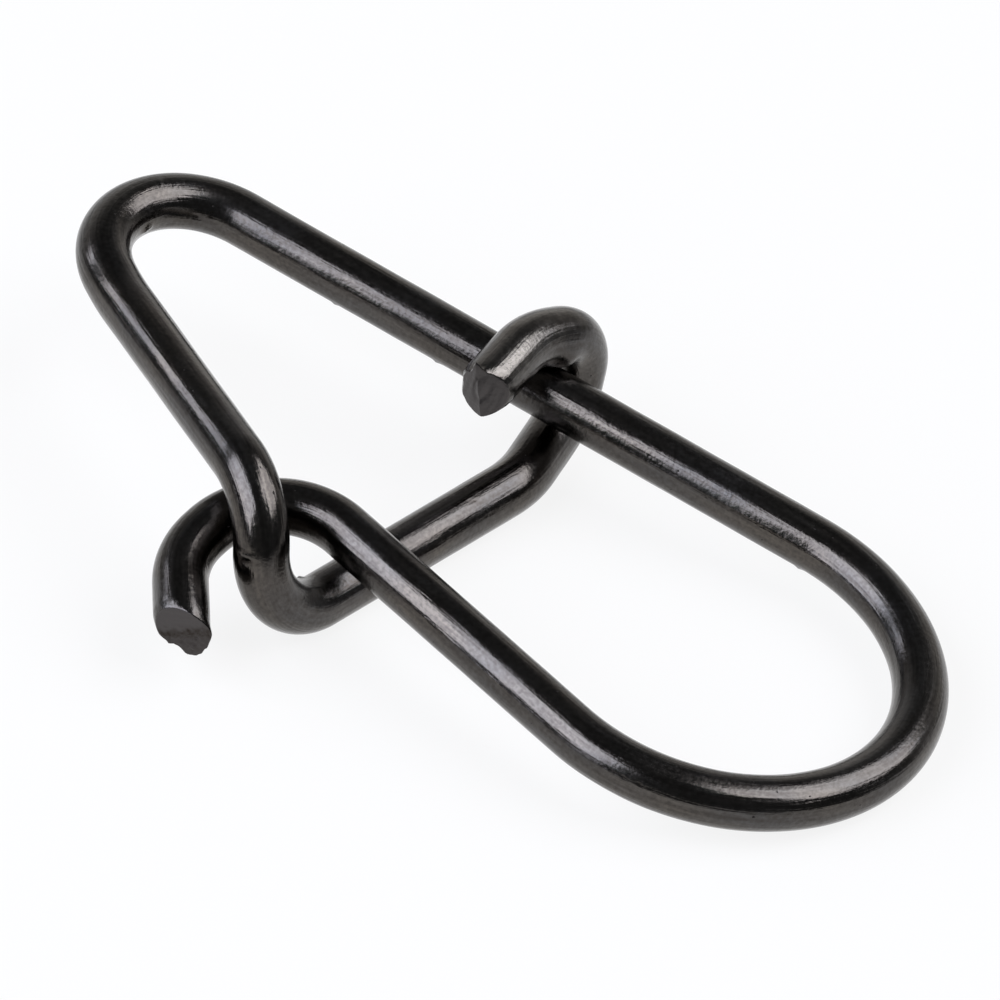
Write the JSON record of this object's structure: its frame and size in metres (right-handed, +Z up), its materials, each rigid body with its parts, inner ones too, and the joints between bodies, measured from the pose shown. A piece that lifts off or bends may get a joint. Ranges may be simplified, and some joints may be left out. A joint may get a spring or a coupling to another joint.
{
  "type": "fishing snap",
  "caption": "Small wire snap that links a fishing line to a lure, bent from round black-plated spring wire with a line eye, a wide lure bow and hooks that wrap the long leg and the corner post.",
  "frame": {"origin": "on the surface that the snap lies on, under the middle of its outline", "axes": "+Z up; +X from the small line eye towards the wide lure bow; +Y towards the long leg, which hook A wraps"},
  "size_m": [0.0186, 0.0114, 0.0035],
  "materials": {
    "black_plated_wire": "black nickel plating on drawn spring wire, mirror-like with fine draw marks"
  },
  "bodies": {
    "root": {"snap_wire": "black_plated_wire"}
  },
  "joints": []
}
